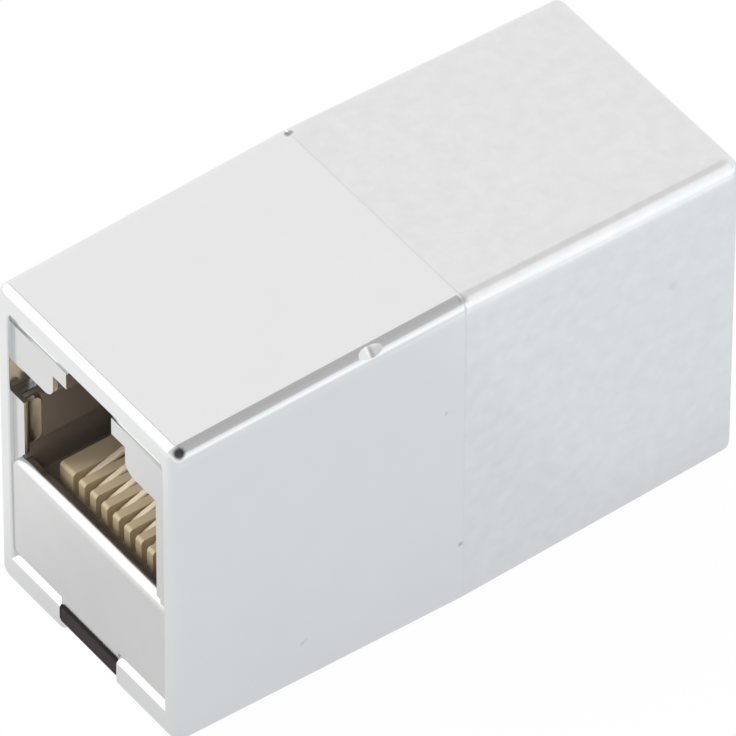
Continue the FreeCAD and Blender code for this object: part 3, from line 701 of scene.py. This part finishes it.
def studio_lamps():
    """Two broad lamps that reach into the ports; glossy rays don't see them."""
    for name, toward, power, angle in LAMPS:
        data = bpy.data.lights.new(name, "SUN")
        data.energy, data.angle = power, math.radians(angle)
        lamp = bpy.data.objects.new(name, data)
        scene.collection.objects.link(lamp)
        lamp.rotation_euler = Vector(toward).to_track_quat("Z", "Y").to_euler()
        lamp.visible_glossy = False


AZIMUTH, ELEVATION, ROLL = -36.747, 45.253, 0.246  # degrees
CAMERA_AIM, CAMERA_DISTANCE = (0, 0, 0.010953), 0.71609  # metres
LENS, SHIFT_X, SHIFT_Y = 663.975, -0.0013614, 0.0035435


def studio_camera():
    """A long lens that looks down on the front end from the near side."""
    azimuth, elevation, roll = math.radians(AZIMUTH), math.radians(ELEVATION), math.radians(ROLL)
    right = Vector((math.cos(azimuth), math.sin(azimuth), 0))
    ahead = Vector((-math.sin(azimuth) * math.cos(elevation),
                    math.cos(azimuth) * math.cos(elevation), -math.sin(elevation)))
    up = right.cross(ahead)
    side = math.cos(roll) * right + math.sin(roll) * up
    top = -math.sin(roll) * right + math.cos(roll) * up
    data = bpy.data.cameras.new("camera")
    data.sensor_width, data.lens = 36.0, LENS
    data.shift_x, data.shift_y = SHIFT_X, SHIFT_Y
    data.clip_start, data.clip_end = 0.05, 20.0
    camera = bpy.data.objects.new("camera", data)
    scene.collection.objects.link(camera)
    place = Vector(CAMERA_AIM) - ahead * CAMERA_DISTANCE
    turn = Matrix((side, top, -ahead)).transposed().to_4x4()
    camera.matrix_world = Matrix.Translation(place) @ turn
    scene.camera = camera


# ------------------------------------------------------------------ the coupler
MOULDED_EDGE = 0.05
# The folded top comes forward to close the slit over the plates, and the bent edge of the lower
# plate runs on to the walls of the mouth.
TOP_FORWARD = ((0.45, 19.825, 0.305, 19.71), (0.45, 19.945, 0.305, 19.945))
BEND_TO_WALLS = ((6.15, 9.17, 9.89, 6.845),)
BEND_CUTS = (-6.5, -3, 3, 6.5)

FRONT_MARKS_AND_PAINTED_REFLECTION = [  # place in mm, size, softness, strength, colour
    # The first spot is a painted reflection: the dark dot where the front top near corner mirrors
    # the camera. The others are marks.
    ((-17.90, -7.76, 21.92), 0.20, 0.26, 1.0, (0.085, 0.085, 0.09)),
    ((-1.03, -8.15, 15.01), 0.04, 0.16, 0.22, (0.35, 0.36, 0.37)),
    ((-10.31, -8.07, 3.33), 0.04, 0.18, 0.22, (0.38, 0.40, 0.42)),
    ((-10.05, -8.07, 3.45), 0.02, 0.14, 0.18, (0.38, 0.40, 0.42)),
    ((0.13, 7.4, 22.53), 0.08, 0.20, 0.7, (0.10, 0.09, 0.09)),
    ((0.15, -7.80, 22.40), 0.05, 0.22, 0.5, (0.30, 0.30, 0.30)),
    ((-0.03, -8.14, 4.60), 0.07, 0.14, 0.5, (0.30, 0.30, 0.31)),
]
REAR_MARKS = [
    ((0.05, -8.14, 4.60), 0.07, 0.14, 0.5, (0.30, 0.30, 0.31)),
    ((0.30, 7.4, 22.53), 0.05, 0.18, 0.6, (0.12, 0.11, 0.11)),
    ((0.32, -7.85, 22.35), 0.05, 0.25, 0.45, (0.34, 0.34, 0.34)),
    ((13.9, -8.04, 15.52), 0.05, 0.40, 0.16, (0.42, 0.36, 0.32)),
]
plating = finish("satin nickel plating", (0.86, 0.86, 0.86), metallic=1.0, roughness=0.17,
                 grain_scale=5200, mottling=0.04, bump=0.0007, rough_spread=0.03,
                 spots=FRONT_MARKS_AND_PAINTED_REFLECTION)
worn_plating = finish("grainy nickel plating", (0.862, 0.862, 0.862), metallic=1.0, roughness=0.19,
                      grain_scale=4300, mottling=0.14, bump=0.0011, rough_spread=0.04,
                      spots=REAR_MARKS, patches=1000.0)
sheet_metal = finish("tinned sheet", (0.755, 0.755, 0.75), metallic=1.0, roughness=0.22,
                     grain_scale=3800, mottling=0.08, bump=0.0006)
dark_brown = finish("dark brown jack moulding", (0.165, 0.132, 0.105), metallic=0.0, roughness=0.5,
                    grain_scale=2600, mottling=0.12, bump=0.003, specular=0.3)
tan = finish("tan comb moulding", (0.46, 0.370, 0.243), metallic=0.0, roughness=0.40,
             grain_scale=2600, mottling=0.10, bump=0.003)
black = finish("black tray moulding", (0.020, 0.014, 0.015), metallic=0.0, roughness=0.55,
               grain_scale=2600, mottling=0.2, bump=0.003, specular=0.15)
green_board = finish("board lacquer", (0.03, 0.16, 0.07), metallic=0.0, roughness=0.35,
                     grain_scale=1800, mottling=0.15, bump=0.002)
gold = finish("gold-plated contact", (1.0, 0.87, 0.66), metallic=0.35, roughness=0.24,
              grain_scale=4200, mottling=0.10, bump=0.001)

dress(make_half("front_half_housing", "front_shell", HALF_LENGTH + SEAM_OFFSET, False), plating)
dress(make_half("rear_half_housing", "rear_shell", HALF_LENGTH - SEAM_OFFSET, True), worn_plating)
for end in ("front", "rear"):
    shield = finished_copy(end + "_jack_shield", end + "_folded_shield",
                           moved=TOP_FORWARD, widened=BEND_TO_WALLS, cuts=BEND_CUTS)
    body = finished_copy(end + "_jack_insulator", end + "_jack_body", MOULDED_EDGE)
    comb = finished_copy(end + "_contact_carrier", end + "_contact_comb",
                         MOULDED_EDGE)
    for piece, material in ((shield, sheet_metal), (body, dark_brown), (comb, tan)):
        dress(piece, material)
dress(finished_copy("board_tray", "tray", MOULDED_EDGE), black)
dress(finished_copy("circuit_board", "board"), green_board)
for wire in make_contacts():
    dress(wire, gold)

studio_light()
studio_floor()
studio_lamps()
studio_camera()
